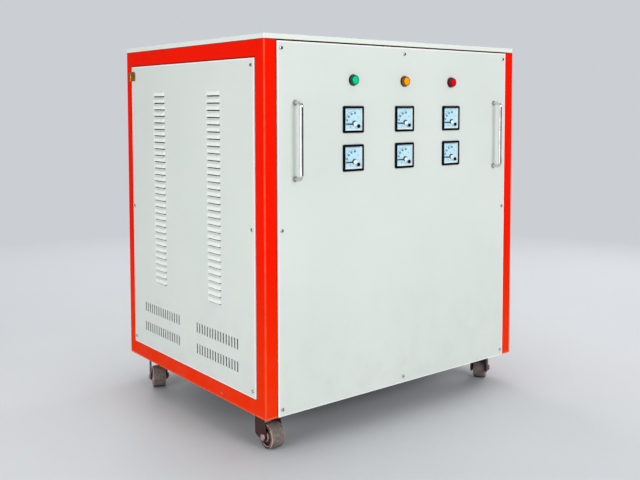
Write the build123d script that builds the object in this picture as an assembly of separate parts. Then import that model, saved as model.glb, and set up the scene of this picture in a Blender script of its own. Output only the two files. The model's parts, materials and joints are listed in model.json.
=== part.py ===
from build123d import *
import math
import os

# Dry-type power transformer in a sheet-metal cabinet that stands on four swivel castors.
# All sizes are in millimetres. X runs to the right seen from the front, Y to the back, Z up.
# The origin is on the floor, under the middle of the overall box.

# Cabinet
cabinet_width = 950.0
cabinet_depth = 790.0
frame_height = 968.0
castor_height = 99.0
sheet_gauge = 2.5
base_thickness = 3.0
post_front_face = 37.0
post_side_face = 40.0
corner_bend_radius = 3.0
rebate_bend_radius = 1.0
rebate_depth = 12.0
rebate_flange = 25.0
side_rail_face = 43.0
cross_rail_face = 40.0
cross_rail_flange = 30.0

# Lid
lid_height = 14.0
lid_gauge = 2.0
lid_edge_radius = 1.5
lid_return = 15.0

# Panels, folded as shallow pans that seat in the rebate
panel_gauge = 1.5
panel_gap = 1.5
side_panel_top_gap = 2.5
front_panel_proud = 2.5
side_panel_proud = 3.0
panel_bend_radius = 1.4
front_panel_top_gap = 3.0

# Louvres and slots of the side panels
louvre_pitch = 19.55
louvre_length = 70.0
louvre_height = 13.5
louvre_slit = 3.2
louvre_reach = 5.0
louvre_end_slope = 6.5
louvre_gauge = 1.2
louvre_top_drop = 96.5
lowest_louvre_level = 250.0
louvre_column_spacing = 317.0
louvre_setback = 7.0
slot_count = 16
slot_pitch = 14.4
slot_width = 5.0
slot_height = 29.0
slot_group_spacing = 324.0
slot_setback = 3.0
slot_row_heights = (110.0, 171.0)

# Panel meters
meter_size = 72.0
meter_border = 6.0
meter_flange = 4.5
meter_edge_chamfer = 1.1
meter_corner_radius = 3.0
meter_body = 62.0
meter_body_depth = 40.0
meter_recess = 8.0
meter_cutout_clearance = 1.0
meter_fit_clearance = 0.3
meter_column_spacing = 189.0
meter_row_drops = (204.0, 308.0)
dial_thickness = 1.0
window_thickness = 1.2
window_setback = 0.6

# Pilot lamps
lamp_colours = ("green", "amber", "red")
lamp_drop = 98.0
lamp_bezel_diameter = 30.0
lamp_bezel_depth = 4.0
lamp_bezel_chamfer = 1.0
lamp_stem_diameter = 22.0
lamp_stem_length = 36.0
lamp_hole_clearance = 0.3
lamp_lens_diameter = 27.0
lamp_lens_length = 9.5
lamp_lens_draft = 0.6
lamp_lens_edge_radius = 1.2
lamp_lens_ridge = 2.6
lamp_lens_recess = 0.9
lamp_lens_dome = 0.6
lamp_notch_radius = 1.6
lamp_notch_turn = 30.0
lamp_seat_depth = 2.5
lamp_seat_clearance = 0.2

# Handles
handle_inset = 93.0
handle_centre_drop = 257.0
handle_hole_spacing = 196.0
handle_rod_diameter = 10.0
handle_standoff = 28.0
handle_bend_radius = 11.0
handle_foot_diameter = 14.0
handle_foot_thickness = 3.5
handle_foot_chamfer = 1.0

# Side catches
catch_height = 27.0
catch_thickness = 2.0
catch_panel_leaf = 26.0
catch_post_leaf = 17.0
catch_barrel_diameter = 6.0
catch_drop = 76.0
catch_corner_radius = 3.0

# Castors
castor_side_inset = 56.0
castor_end_inset = 80.0
castor_plate_width = 84.0
castor_plate_length = 100.0
castor_plate_thickness = 4.0
castor_plate_corner = 8.0
castor_slot_spacing_x = 60.0
castor_slot_spacing_y = 76.0
castor_slot_width = 9.0
castor_slot_length = 14.0
castor_race_diameter = 58.0
castor_race_height = 7.0
castor_race_taper = 3.5
castor_race_gap = 0.4
castor_trail = 28.0
wheel_diameter = 68.0
wheel_width = 40.0
wheel_hub_width = 44.0
wheel_hub_diameter = 28.0
wheel_hub_chamfer = 3.0
wheel_web_recess = 7.0
wheel_web_draft = 2.0
wheel_rim_inner_diameter = 52.0
wheel_edge_chamfer = 1.5
wheel_tread_crown = 1.5
fork_gauge = 3.5
fork_hub_clearance = 1.0
fork_leg_width = 40.0
fork_heel_radius = 9.0
fork_heel_height = 38.0
fork_eye_radius = 12.0
fork_crown_back = 16.0
kingpin_diameter = 12.0
kingpin_head_diameter = 20.0
kingpin_head_height = 3.0
kingpin_head_chamfer = 1.0
axle_diameter = 8.0
axle_head_across = 15.0
axle_head_height = 5.0
running_clearance = 0.06
seat_gap = 0.3
trail_direction = {"front_left": -93.0, "front_right": 36.0, "back_left": -112.0, "back_right": 78.0}

# Core and coils
core_stack = 180.0
core_limb_width = 130.0
core_limb_pitch = 285.0
core_window_height = 450.0
core_level = 130.0
coil_outer_width = 262.0
coil_outer_depth = 330.0
coil_inner_width = 150.0
coil_inner_depth = 200.0
coil_height = 400.0
coil_corner_radius = 60.0
clamp_height = 90.0
clamp_flange = 45.0
clamp_gauge = 6.0
foot_channel_height = 60.0

# Worked-out places
front_y = -cabinet_depth / 2
side_x = -cabinet_width / 2
front_panel_depth = rebate_depth + front_panel_proud
front_panel_width = cabinet_width - 2 * (post_front_face + panel_gap)
front_panel_height = frame_height - front_panel_top_gap
panel_face_y = front_y - front_panel_proud
side_panel_depth = rebate_depth + side_panel_proud
side_panel_width = cabinet_depth - 2 * (post_side_face + panel_gap)
side_panel_bottom = side_rail_face + panel_gap
side_panel_top = frame_height - side_rail_face - side_panel_top_gap
front_reach = front_panel_proud + handle_standoff + handle_rod_diameter / 2
back_reach = front_panel_proud
overall_shift = (front_reach - back_reach) / 2
to_floor = Pos(0, overall_shift, castor_height)
meter_columns = [-meter_column_spacing, 0.0, meter_column_spacing]
meter_rows = [frame_height - drop for drop in meter_row_drops]
lamp_level = frame_height - lamp_drop
wheel_radius = wheel_diameter / 2


def save(name, shape):
    """Writes one node, moved from the cabinet's own axes to the floor origin."""
    export_step(to_floor * shape, f"parts/{name}.step")


def folded_section(points, gauge):
    """Outline of a sheet folded square: the outer skin follows points, the metal lies to its right."""
    path = [Vector(*p) for p in points]
    steps = [(b - a).normalized() for a, b in zip(path, path[1:])]
    rights = [Vector(s.Y, -s.X) for s in steps]
    shifts = [rights[0]] + [a + b for a, b in zip(rights, rights[1:])] + [rights[-1]]
    inner = [p + s * gauge for p, s in zip(path, shifts)]
    return make_face(Polyline(*path, *reversed(inner), close=True))


def bent(section, corner, radius):
    """The section with the bend nearest to corner rounded on its outside."""
    return fillet(section.vertices().sort_by_distance((*corner, 0))[0], radius)


def mirrored_x(shape):
    return mirror(shape, about=Plane.YZ)


def mirrored_y(shape):
    return mirror(shape, about=Plane.XZ)


# Frame

def corner_post():
    """Front left post: two faces, each stepped back to a flange that a panel seats on."""
    section = folded_section(
        [
            (post_front_face + rebate_flange, rebate_depth),
            (post_front_face, rebate_depth),
            (post_front_face, 0),
            (0, 0),
            (0, post_side_face),
            (rebate_depth, post_side_face),
            (rebate_depth, post_side_face + rebate_flange),
        ],
        sheet_gauge,
    )
    section = bent(section, (0, 0), corner_bend_radius)
    section = bent(section, (post_front_face, 0), rebate_bend_radius)
    return Pos(side_x, front_y, base_thickness) * extrude(section, amount=frame_height - base_thickness)


def side_rail(bottom, top):
    """Channel between the left posts, open towards the inside."""
    section = folded_section(
        [(rebate_depth, bottom), (0, bottom), (0, top), (rebate_depth, top)],
        sheet_gauge,
    )
    section = bent(section, (0, bottom), rebate_bend_radius)
    section = bent(section, (0, top), rebate_bend_radius)
    length = cabinet_depth - 2 * post_side_face
    return Pos(side_x, 0, 0) * extrude(Plane.XZ * section, amount=length / 2, both=True)


def cross_rail(web_end, flange_end):
    """Front angle between the post flanges: its web backs the panel, its flange points inwards."""
    web = rebate_depth
    points = [(web, web_end), (web, flange_end), (web + cross_rail_flange, flange_end)]
    if flange_end < web_end:
        points.reverse()
    section = folded_section(points, sheet_gauge)
    length = cabinet_width - 2 * (post_front_face + rebate_flange)
    return Pos(0, front_y, 0) * extrude(Plane.YZ * section, amount=length / 2, both=True)


def base_plate():
    """Floor of the cabinet, notched where the front and back panels reach down past it."""
    outline = RectangleRounded(cabinet_width, cabinet_depth, corner_bend_radius)
    plate = extrude(outline, amount=base_thickness)
    notch = Box(
        cabinet_width - 2 * post_front_face,
        rebate_depth,
        base_thickness,
        align=(Align.CENTER, Align.MIN, Align.MIN),
    )
    front_notch = Pos(0, front_y, 0) * notch
    return plate - [front_notch, mirrored_y(front_notch)]


def lid():
    """Shallow tray turned upside down, its skirt flush with the frame and its return lying on it."""
    tray = extrude(RectangleRounded(cabinet_width, cabinet_depth, corner_bend_radius), amount=lid_height)
    tray = fillet(tray.faces().filter_by(Axis.Z).edges(), lid_edge_radius)
    inside = Pos(0, 0, lid_gauge) * Box(
        cabinet_width - 2 * lid_gauge,
        cabinet_depth - 2 * lid_gauge,
        lid_height - 2 * lid_gauge,
        align=(Align.CENTER, Align.CENTER, Align.MIN),
    )
    mouth = Box(
        cabinet_width - 2 * lid_return,
        cabinet_depth - 2 * lid_return,
        lid_gauge,
        align=(Align.CENTER, Align.CENTER, Align.MIN),
    )
    return Pos(0, 0, frame_height) * (tray - [inside, mouth])


# Panels

def pan(width, height, depth):
    """Panel folded as a pan: face at y = 0 looking to -Y, returns pointing back, height centred on z = 0."""
    seat = (Align.CENTER, Align.MIN, Align.CENTER)
    outer = Box(width, depth, height, align=seat)
    outer = fillet(outer.faces().sort_by(Axis.Y)[0].edges(), panel_bend_radius)
    inner = Box(width - 2 * panel_gauge, depth, height - 2 * panel_gauge, align=seat)
    return outer - Pos(0, panel_gauge, 0) * inner


def through_face(outline):
    """Cutter for an opening in a panel's face: the outline lies in X and Z, around y = 0."""
    return extrude(Plane.XZ * outline, amount=2 * panel_gauge, both=True)


def back_panel():
    blank = pan(front_panel_width, front_panel_height, front_panel_depth)
    return mirrored_y(Pos(0, panel_face_y, front_panel_height / 2) * blank)


def front_panel():
    blank = pan(front_panel_width, front_panel_height, front_panel_depth)
    opening = meter_body + 2 * meter_cutout_clearance
    meter_hole = through_face(Rectangle(opening, opening))
    lamp_hole = through_face(Circle(lamp_stem_diameter / 2 + lamp_hole_clearance))
    cuts = [Pos(x, panel_face_y, z) * meter_hole for x in meter_columns for z in meter_rows]
    cuts += [Pos(x, panel_face_y, lamp_level) * lamp_hole for x in meter_columns]
    return Pos(0, panel_face_y, front_panel_height / 2) * blank - cuts


def louvre_form(length, height, reach, slope):
    """Solid under an eyelid-shaped hood: tallest at the top, widest at the sheet, open edge at z = 0."""
    radius = (reach**2 + height**2) / (2 * reach)
    rise = math.degrees(math.atan2(height, radius - reach))
    crown = CenterArc((radius - reach, 0), radius, 180 - rise, rise)
    profile = make_face([crown, Polyline(crown @ 1, (0, 0), crown @ 0)])
    plan = Polyline(
        (-length / 2, 0),
        (-length / 2 + slope, -reach),
        (length / 2 - slope, -reach),
        (length / 2, 0),
        close=True,
    )
    bar = extrude(Plane.YZ * profile, amount=length / 2, both=True)
    prism = extrude(make_face(plan), amount=height)
    return bar & prism


def louvre_hood():
    """Hood over a cut at z = 0, its lip standing the slit's height above the cut."""
    return Pos(0, 0, louvre_slit) * louvre_form(louvre_length, louvre_height, louvre_reach, louvre_end_slope)


def louvre_hollow():
    """Hollow of a hood, carried on through the sheet from the cut upwards."""
    height = louvre_height - louvre_gauge
    length = louvre_length - 2 * louvre_gauge
    form = louvre_form(length, height, louvre_reach - louvre_gauge, louvre_end_slope)
    throat = Box(length, panel_gauge, louvre_slit + height, align=(Align.CENTER, Align.MIN, Align.MIN))
    return Pos(0, 0, louvre_slit) * form + throat


def side_panel():
    """Left panel: slot groups near its foot, and louvre columns from its top down to the lowest level."""
    panel = pan(side_panel_width, side_panel_top - side_panel_bottom, side_panel_depth)
    panel_centre = (side_panel_bottom + side_panel_top) / 2
    slot = through_face(Rot(0, 0, 90) * SlotOverall(slot_height, slot_width))
    slot_row = [Pos((i - (slot_count - 1) / 2) * slot_pitch, 0, 0) * slot for i in range(slot_count)]
    slots = [
        Pos(side * slot_group_spacing / 2 - slot_setback, 0, level - panel_centre) * one
        for side in (-1, 1)
        for level in slot_row_heights
        for one in slot_row
    ]
    top_louvre = side_panel_top - louvre_top_drop
    louvre_count = 1 + int((top_louvre - lowest_louvre_level) / louvre_pitch)
    column = [Pos(0, 0, top_louvre - panel_centre - i * louvre_pitch) for i in range(louvre_count)]
    places = [
        Pos(side * louvre_column_spacing / 2 - louvre_setback, 0, 0) * level
        for side in (-1, 1)
        for level in column
    ]
    hood = louvre_hood()
    hollow = louvre_hollow()
    panel = panel - slots
    panel = panel + [place * hood for place in places]
    panel = panel - [place * hollow for place in places]
    return Pos(side_x - side_panel_proud, 0, panel_centre) * Rot(0, 0, -90) * panel


def side_catch():
    """Left catch: one leaf on the panel, one on the back post, and the barrel over the gap between them."""
    gap_y = cabinet_depth / 2 - post_side_face - panel_gap / 2
    level = frame_height - catch_drop
    skin = side_x - side_panel_proud
    leaf_box = (Align.MAX, Align.MAX, Align.CENTER)
    panel_leaf = Box(catch_thickness, catch_panel_leaf, catch_height, align=leaf_box)
    panel_leaf = fillet(panel_leaf.edges().filter_by(Axis.X).group_by(Axis.Y)[0], catch_corner_radius)
    post_leaf = Box(
        catch_thickness + side_panel_proud,
        catch_post_leaf,
        catch_height,
        align=(Align.MAX, Align.MIN, Align.CENTER),
    )
    post_leaf = fillet(post_leaf.edges().filter_by(Axis.X).group_by(Axis.Y)[-1], catch_corner_radius)
    barrel = Pos(-catch_barrel_diameter / 2, 0, 0) * Cylinder(catch_barrel_diameter / 2, catch_height)
    on_panel = Pos(skin, gap_y, level)
    on_post = Pos(side_x, gap_y + panel_gap / 2, level)
    return on_panel * panel_leaf + on_post * post_leaf + on_panel * barrel


# Handles

def handle():
    """Bright rod bent to a U, standing on two round feet; centred on x = 0, z = 0, feet at y = 0."""
    half = handle_hole_spacing / 2
    path = FilletPolyline(
        (0, 0, -half),
        (0, -handle_standoff, -half),
        (0, -handle_standoff, half),
        (0, 0, half),
        radius=handle_bend_radius,
    )
    start = Plane(origin=path @ 0, z_dir=path % 0)
    rod = sweep(start * Circle(handle_rod_diameter / 2), path=path)
    foot = extrude(Plane.XZ * Circle(handle_foot_diameter / 2), amount=handle_foot_thickness)
    foot = chamfer(foot.faces().sort_by(Axis.Y)[0].edges(), handle_foot_chamfer)
    return rod + [Pos(0, 0, -half) * foot, Pos(0, 0, half) * foot]


# Pilot lamps

def lamp_bezel():
    """Ring in front of the panel with a round seat for the lens, and the stem behind it."""
    ring = extrude(Plane.XZ * Circle(lamp_bezel_diameter / 2), amount=lamp_bezel_depth)
    ring = chamfer(ring.faces().sort_by(Axis.Y)[0].edges(), lamp_bezel_chamfer)
    stem = extrude(Plane.XZ * Circle(lamp_stem_diameter / 2), amount=-lamp_stem_length)
    seat = extrude(
        Plane.XZ * Circle(lamp_lens_diameter / 2 + lamp_seat_clearance),
        amount=lamp_seat_depth,
    )
    return ring + stem - Pos(0, -lamp_bezel_depth + lamp_seat_depth, 0) * seat


def lamp_lens():
    """Drafted lens cap seated in the bezel: a notched ridge round a sunk, slightly domed face."""
    base = lamp_lens_diameter / 2
    rim = base - lamp_lens_draft
    face = rim - lamp_lens_ridge
    sunk = lamp_lens_length - lamp_lens_recess
    side = Polyline((0, 0), (base, 0), (rim, lamp_lens_length), (face, lamp_lens_length), (face, sunk))
    dome = TangentArc((0, sunk + lamp_lens_dome), (face, sunk), tangent=(1, 0))
    outline = make_face([side, dome, Line((0, sunk + lamp_lens_dome), (0, 0))])
    outline = fillet(outline.vertices().group_by(Axis.Y)[-1].sort_by(Axis.X)[-1], lamp_lens_edge_radius)
    lens = revolve(outline, axis=Axis.Y)
    notch = extrude(Plane.XZ * Circle(lamp_notch_radius), amount=-lamp_lens_length)
    lens = lens - Rot(0, lamp_notch_turn, 0) * Pos(0, lamp_seat_depth, rim) * notch
    return Pos(0, -lamp_bezel_depth + lamp_seat_depth, 0) * Rot(0, 0, 180) * lens


# Panel meters

def meter_case():
    """Square flange with a deep window recess, and the body that passes through the panel."""
    outline = Plane.XZ * RectangleRounded(meter_size, meter_size, meter_corner_radius)
    flange = extrude(outline, amount=meter_flange)
    flange = chamfer(flange.faces().sort_by(Axis.Y)[0].outer_wire().edges(), meter_edge_chamfer)
    body = extrude(Plane.XZ * Rectangle(meter_body, meter_body), amount=-meter_body_depth)
    window = meter_size - 2 * meter_border
    recess = extrude(Plane.XZ * Rectangle(window, window), amount=-meter_recess)
    return flange + body - Pos(0, -meter_flange, 0) * recess


def meter_sheet(thickness, front):
    """Square sheet that fits the recess, its front face at depth front behind the flange's front."""
    side = meter_size - 2 * meter_border - 2 * meter_fit_clearance
    return Pos(0, front - meter_flange, 0) * extrude(Plane.XZ * Rectangle(side, side), amount=-thickness)


def at_meters(shape):
    """One copy of shape at each meter's place."""
    return Compound([Pos(x, panel_face_y, z) * shape for z in meter_rows for x in meter_columns])


# Castors: each is drawn with its swivel axis at x = y = 0, its wheel trailing to +X and the floor at z = 0

fork_inner_width = wheel_hub_width + 2 * fork_hub_clearance
fork_outer_width = fork_inner_width + 2 * fork_gauge
plate_bottom = castor_height - castor_plate_thickness
crown_top = plate_bottom - castor_race_height - castor_race_gap
crown_bottom = crown_top - fork_gauge


def castor_plate():
    """Top plate with four slots, the pressed race under it and the kingpin with its riveted head."""
    plate = Pos(0, 0, plate_bottom) * extrude(
        RectangleRounded(castor_plate_width, castor_plate_length, castor_plate_corner),
        amount=castor_plate_thickness,
    )
    slots = [
        Pos(x * castor_slot_spacing_x / 2, y * castor_slot_spacing_y / 2, plate_bottom)
        * extrude(SlotOverall(castor_slot_length, castor_slot_width), amount=castor_plate_thickness)
        for x in (-1, 1)
        for y in (-1, 1)
    ]
    race = Cone(
        castor_race_diameter / 2 - castor_race_taper,
        castor_race_diameter / 2,
        castor_race_height,
        align=(Align.CENTER, Align.CENTER, Align.MAX),
    )
    pin_bottom = crown_bottom - seat_gap
    pin = Pos(0, 0, pin_bottom) * extrude(Circle(kingpin_diameter / 2), amount=plate_bottom - pin_bottom)
    head = Pos(0, 0, pin_bottom) * extrude(Circle(kingpin_head_diameter / 2), amount=-kingpin_head_height)
    head = chamfer(head.faces().sort_by(Axis.Z)[0].edges(), kingpin_head_chamfer)
    return plate - slots + Pos(0, 0, plate_bottom) * race + pin + head


def castor_fork():
    """Pressed fork: flat crown with the swivel hole, and two tapered legs with a heel and an axle eye."""
    crown_bar = Pos(
        fork_leg_width / 2 - fork_crown_back,
        crown_top - fork_gauge / 2,
    ) * Rectangle(fork_leg_width, fork_gauge)
    heel = Pos(fork_heel_radius - fork_crown_back, fork_heel_height) * Circle(fork_heel_radius)
    eye = Pos(castor_trail, wheel_radius) * Circle(fork_eye_radius)
    outline = make_face(make_hull(crown_bar.edges() + heel.edges() + eye.edges()))
    blank = extrude(Plane.XZ * outline, amount=fork_outer_width / 2, both=True)
    blank = fillet(blank.edges().filter_by(Axis.X).group_by(Axis.Z)[-1], fork_gauge)
    hollow = Box(
        2 * (castor_trail + wheel_radius),
        fork_inner_width,
        crown_bottom,
        align=(Align.CENTER, Align.CENTER, Align.MIN),
    )
    disc = Pos(0, 0, crown_bottom) * extrude(Circle(castor_race_diameter / 2), amount=fork_gauge)
    swivel_hole = extrude(Circle(kingpin_diameter / 2 + running_clearance), amount=castor_height)
    axle_hole = Pos(castor_trail, 0, wheel_radius) * extrude(
        Plane.XZ * Circle(axle_diameter / 2 + seat_gap),
        amount=fork_outer_width,
        both=True,
    )
    return blank - hollow + disc - swivel_hole - axle_hole


def castor_axle():
    """Bolt through the fork's eyes and the wheel, with a hexagon head and nut outside the legs."""
    shank = extrude(Plane.XZ * Circle(axle_diameter / 2), amount=fork_outer_width / 2, both=True)
    hexagon = RegularPolygon(axle_head_across / 2, 6, major_radius=False)
    head = Pos(0, -fork_outer_width / 2, 0) * extrude(Plane.XZ * hexagon, amount=axle_head_height)
    return Pos(castor_trail, 0, wheel_radius) * (shank + head + mirrored_y(head))


def castor_wheel():
    """One-piece wheel: crowned tread, rim, recessed web and stepped hub, with the axle bore."""
    bore = axle_diameter / 2 + running_clearance
    hub = wheel_hub_diameter / 2
    rim = wheel_rim_inner_diameter / 2
    half = wheel_width / 2
    web = half - wheel_web_recess
    shoulder = wheel_radius - wheel_tread_crown
    side = Polyline(
        (bore, wheel_hub_width / 2),
        (hub - wheel_hub_chamfer, wheel_hub_width / 2),
        (hub, wheel_hub_width / 2 - wheel_hub_chamfer),
        (hub, web),
        (rim - wheel_web_draft, web),
        (rim, half),
        (shoulder - wheel_edge_chamfer, half),
        (shoulder, half - wheel_edge_chamfer),
    )
    tread = ThreePointArc(side @ 1, (wheel_radius, 0), (shoulder, wheel_edge_chamfer - half))
    other_side = mirror(side, about=Plane.XZ)
    bore_line = Line((bore, wheel_hub_width / 2), (bore, -wheel_hub_width / 2))
    section = make_face([side, tread, other_side, bore_line])
    wheel = revolve(section, axis=Axis.Y)
    return Pos(castor_trail, 0, wheel_radius) * wheel


def castor_place(corner):
    """Moves a castor from its own axes to its corner under the frame, its plate square to the cabinet."""
    end, side = corner.split("_")
    x = side_x + castor_side_inset
    y = front_y + castor_end_inset
    return Pos(-x if side == "right" else x, -y if end == "back" else y, -castor_height)


# Core and coils

def core():
    """Three limbs joined by the two yokes, cut from one block."""
    width = 2 * core_limb_pitch + core_limb_width
    height = core_window_height + 2 * core_limb_width
    block = Box(width, core_stack, height, align=(Align.CENTER, Align.CENTER, Align.MIN))
    window = Box(
        core_limb_pitch - core_limb_width,
        core_stack,
        core_window_height,
        align=(Align.CENTER, Align.CENTER, Align.MIN),
    )
    windows = [Pos(side * core_limb_pitch / 2, 0, core_limb_width) * window for side in (-1, 1)]
    return Pos(0, 0, core_level) * (block - windows)


def coils():
    """One rounded, hollow winding block round each limb, standing on the bottom yoke."""
    outline = RectangleRounded(coil_outer_width, coil_outer_depth, coil_corner_radius)
    hole = RectangleRounded(coil_inner_width, coil_inner_depth, (coil_inner_width - core_limb_width) / 2)
    winding = extrude(outline - hole, amount=coil_height)
    bottom = core_level + core_limb_width
    return Compound([Pos(side * core_limb_pitch, 0, bottom) * winding for side in (-1, 0, 1)])


def core_frame():
    """Channels bolted along both yokes, and the two cross channels that carry them on the base plate."""
    width = 2 * core_limb_pitch + core_limb_width
    section = folded_section(
        [(clamp_flange, 0), (0, 0), (0, clamp_height), (clamp_flange, clamp_height)],
        clamp_gauge,
    )
    clamp = Pos(0, core_stack / 2, core_level + (core_limb_width - clamp_height) / 2) * extrude(
        Plane.YZ * section, amount=width / 2, both=True
    )
    top_clamp = Pos(0, 0, core_window_height + core_limb_width) * clamp
    clamps = [clamp, mirrored_y(clamp), top_clamp, mirrored_y(top_clamp)]
    foot_length = cabinet_depth - 2 * (rebate_depth + cross_rail_flange + sheet_gauge)
    foot_height = core_level - base_thickness
    foot = Box(foot_channel_height, foot_length, foot_height, align=(Align.CENTER, Align.CENTER, Align.MIN))
    feet = [Pos(side * core_limb_pitch, 0, base_thickness) * foot for side in (-1, 1)]
    return Compound(clamps + feet)


os.makedirs("parts", exist_ok=True)

post = corner_post()
save("post_front_left", post)
save("post_front_right", mirrored_x(post))
save("post_back_left", mirrored_y(post))
save("post_back_right", mirrored_x(mirrored_y(post)))

top_rail = side_rail(frame_height - side_rail_face, frame_height)
bottom_rail = side_rail(base_thickness, side_rail_face)
front_top_rail = cross_rail(frame_height - cross_rail_face, frame_height)
front_bottom_rail = cross_rail(base_thickness + cross_rail_face, base_thickness)
save("side_top_rails", Compound([top_rail, mirrored_x(top_rail)]))
save("side_bottom_rails", Compound([bottom_rail, mirrored_x(bottom_rail)]))
save("cross_rails_top", Compound([front_top_rail, mirrored_y(front_top_rail)]))
save("cross_rails_bottom", Compound([front_bottom_rail, mirrored_y(front_bottom_rail)]))
save("base_plate", base_plate())
save("lid", lid())

save("front_panel", front_panel())
save("back_panel", back_panel())
left_panel = side_panel()
save("side_panel_left", left_panel)
save("side_panel_right", mirrored_x(left_panel))
catch = side_catch()
save("side_catches", Compound([catch, mirrored_x(catch)]))

grip = Pos(side_x + handle_inset, panel_face_y, frame_height - handle_centre_drop) * handle()
save("handle_left", grip)
save("handle_right", mirrored_x(grip))

for colour, column in zip(lamp_colours, meter_columns):
    lamp_place = Pos(column, panel_face_y, lamp_level)
    save(f"lamp_bezel_{colour}", lamp_place * lamp_bezel())
    save(f"lamp_lens_{colour}", lamp_place * lamp_lens())

save("meter_cases", at_meters(meter_case()))
save("meter_dials", at_meters(meter_sheet(dial_thickness, meter_recess - dial_thickness)))
save("meter_windows", at_meters(meter_sheet(window_thickness, window_setback)))

save("core", core())
save("coils", coils())
save("core_frame", core_frame())

for corner, angle in trail_direction.items():
    place = castor_place(corner)
    swivelled = place * Rot(0, 0, angle)
    save(f"castor_plate_{corner}", place * castor_plate())
    save(f"castor_fork_{corner}", swivelled * castor_fork())
    save(f"castor_axle_{corner}", swivelled * castor_axle())
    save(f"castor_wheel_{corner}", swivelled * castor_wheel())
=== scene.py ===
import json
import math
import random

import bmesh
import bpy
from mathutils import Matrix, Vector


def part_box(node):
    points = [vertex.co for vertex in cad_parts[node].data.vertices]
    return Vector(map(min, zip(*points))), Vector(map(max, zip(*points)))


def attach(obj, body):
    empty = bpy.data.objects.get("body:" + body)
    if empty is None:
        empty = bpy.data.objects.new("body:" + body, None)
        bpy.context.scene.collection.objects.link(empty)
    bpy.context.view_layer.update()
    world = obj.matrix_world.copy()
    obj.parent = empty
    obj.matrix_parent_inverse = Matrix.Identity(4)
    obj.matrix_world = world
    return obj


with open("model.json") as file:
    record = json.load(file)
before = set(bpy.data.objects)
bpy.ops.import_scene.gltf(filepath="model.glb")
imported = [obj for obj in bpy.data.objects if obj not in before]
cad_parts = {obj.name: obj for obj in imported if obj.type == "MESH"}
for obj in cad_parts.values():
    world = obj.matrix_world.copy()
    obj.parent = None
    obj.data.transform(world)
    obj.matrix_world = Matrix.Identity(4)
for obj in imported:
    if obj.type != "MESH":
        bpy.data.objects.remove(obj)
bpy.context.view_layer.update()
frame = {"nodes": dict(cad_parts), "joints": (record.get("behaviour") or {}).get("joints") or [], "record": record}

# Lengths are in metres and angles in degrees, unless a name says otherwise.
# X runs to the right seen from the front, Y to the back and Z up, with the floor at z = 0.
MM = 0.001
CABINET = "cabinet"
ACROSS_X, ACROSS_Y, UPRIGHT = 0, 1, 2

# Camera, at the photograph's viewing angle
camera_place = (-1.6355, -2.1237, 0.9009)
camera_tilt = 86.609
camera_heading = -39.14
camera_lens = 47.1
camera_shift = (-0.0391, -0.1328)

# Studio
floor_rings = (0.5, 1.5, 2.6, 3.8)
floor_fade = (1.1, 3.4)
world_strength = 0.62
studio_lights = {
    "front": {"place": (0.1, -4.3, 1.9), "aim": (0.0, -0.4, 0.5), "size": (1.8, 1.6), "watts": 71.0},
    "left": {"place": (-2.4, -0.62, 0.8), "aim": (-0.5, -0.2, 0.5), "size": (1.2, 1.2), "watts": 15.5},
    "right": {"place": (3.4, 0.6, 1.3), "aim": (0.5, 0.0, 0.5), "size": (1.8, 1.6), "watts": 34.0},
    "rear": {"place": (0.9, 4.4, 1.9), "aim": (0.0, 0.4, 0.5), "size": (1.8, 1.6), "watts": 62.0},
    "top": {"place": (0.3, 0.4, 3.6), "aim": (0.0, 0.0, 0.5), "size": (2.4, 2.4), "watts": 24.0},
}
# Dark flags stand on two sides, seen in polished parts alone
flag_directions = ((0.72, -0.69, 0.0), (-0.72, 0.69, 0.0))
flag_edge = (0.6, 0.8)

# Domed screw heads: (radius, height) as shares of the head's own, and the recess's narrowing
head_shape = ((1.0, 0.0), (1.0, 0.36), (0.95, 0.66), (0.84, 0.87), (0.64, 0.97))
recess_taper = 0.7

# Screws that hold the panels
screw_radius = 4.8 * MM
screw_height = 2.5 * MM
screw_recess_reach = 0.46 * screw_radius
screw_recess_width = 0.2 * screw_radius
screw_recess_depth = 0.55 * screw_height
panel_screw_inset = 12.5 * MM
panel_screw_end = 18.5 * MM

# Meters: the scale runs a quarter turn round a pivot low on the right. The cap over the pivot is given as
# pairs of a share of its radius and a height.
meter_half = 36.0 * MM
meter_border = 6.0 * MM
pivot_offset = (8.5 * MM, -12.6 * MM)
scale_radius = 36.0 * MM
scale_sweep = 90.0
scale_law = 1.1
arc_steps = 30
arc_width = 0.4 * MM
minor_marks = 5
major_mark = {"length": 3.2 * MM, "width": 0.7 * MM}
minor_mark = {"length": 1.8 * MM, "width": 0.35 * MM}
number_radius = 29.5 * MM
number_size = 7.8 * MM
print_thickness = 0.06 * MM
stroke_gain = 0.045
needle_lift = 1.6 * MM
needle_gauge = 0.5 * MM
needle_radii = (2.0 * MM, 26.0 * MM, 29.0 * MM)
needle_widths = (4.2 * MM, 3.8 * MM, 2.6 * MM)
pivot_cover_radius = 6.4 * MM
pivot_cap_shape = ((1.0, 0.0), (1.0, 2.6 * MM), (0.93, 3.2 * MM), (0.7, 3.8 * MM), (0.3, 4.1 * MM))
# Dark ring behind the cap, offset up and left: a dark piece put in as painted shade
pivot_shade_margin = 1.0 * MM
pivot_shade_height = 2.2 * MM
pivot_shade_offset = (-2.2 * MM, 2.2 * MM)
adjuster_offset = (16.4 * MM, -18.4 * MM)
adjuster_radius = 5.2 * MM
adjuster_height = 2.2 * MM
adjuster_slot_width = 0.9 * MM
adjuster_slot_depth = 1.0 * MM
adjuster_turn_radians = 0.5
meter_rows = (
    {"numbers": (0, 10, 20, 30, 40), "needle": 0.0},
    {"numbers": (0, 15, 30, 45, 60), "needle": 1.5},
)
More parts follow.
